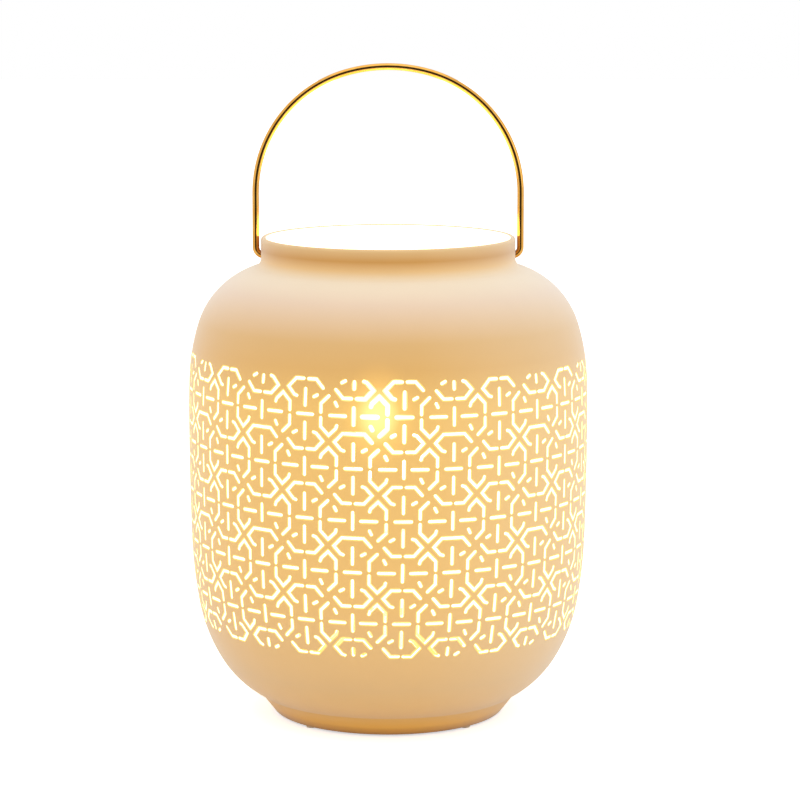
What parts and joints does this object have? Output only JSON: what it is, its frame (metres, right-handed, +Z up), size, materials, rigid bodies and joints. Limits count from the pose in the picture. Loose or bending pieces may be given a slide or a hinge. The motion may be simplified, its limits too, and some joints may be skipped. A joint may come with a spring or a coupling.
{
  "type": "table lamp",
  "caption": "Pierced porcelain lantern table lamp with a footed, barrel-shaped body, an open neck and a swinging gold wire carrying handle, lit by a bulb inside.",
  "frame": {"origin": "centre of the circle of rubber feet, on the table", "axes": "+Z up along the body's axis, +X to the viewer's right along the handle's hinge line, -Y towards the viewer, +Y to the cable notch"},
  "size_m": [0.2, 0.2, 0.3273],
  "materials": {
    "porcelain": "matt bisque",
    "gold_wire": "satin",
    "steel": "zinc plated",
    "brass": "bright",
    "rubber": "matt",
    "white_plastic": "satin moulded",
    "board": "lacquered",
    "opal": "opal",
    "chip": "gel"
  },
  "bodies": {
    "lamp": {"porcelain_shell": "porcelain", "rubber_feet": "rubber", "threaded_tube": "steel", "fixing_nut": "steel", "steel_washer": "steel", "lower_seal": "rubber", "upper_seal": "rubber", "spacer_tube": "white_plastic", "lock_screw": "steel", "holder_base": "white_plastic", "holder_skirt": "white_plastic", "holder_core": "white_plastic", "terminal_blocks": "brass", "terminal_screws": "steel", "screw_shell": "brass", "centre_contact": "brass"},
    "handle": {"carry_handle": "gold_wire"},
    "bulb": {"bulb_cap": "steel", "bulb_insulator": "board", "bulb_tip": "steel", "bulb_housing": "white_plastic", "driver_board": "board", "led_board": "board", "led_chips": "chip", "bulb_globe": "opal"}
  },
  "joints": [
    {"name": "handle_swing", "type": "hinge", "parent": "lamp", "child": "handle", "pos_m": [0, 0, 0.232], "axis": [1, 0, 0], "range_deg": [-100, 100]},
    {"name": "bulb_lift", "type": "slide", "parent": "lamp", "child": "bulb", "axis": [0, 0, 1], "range_m": [0, 0.15]}
  ]
}
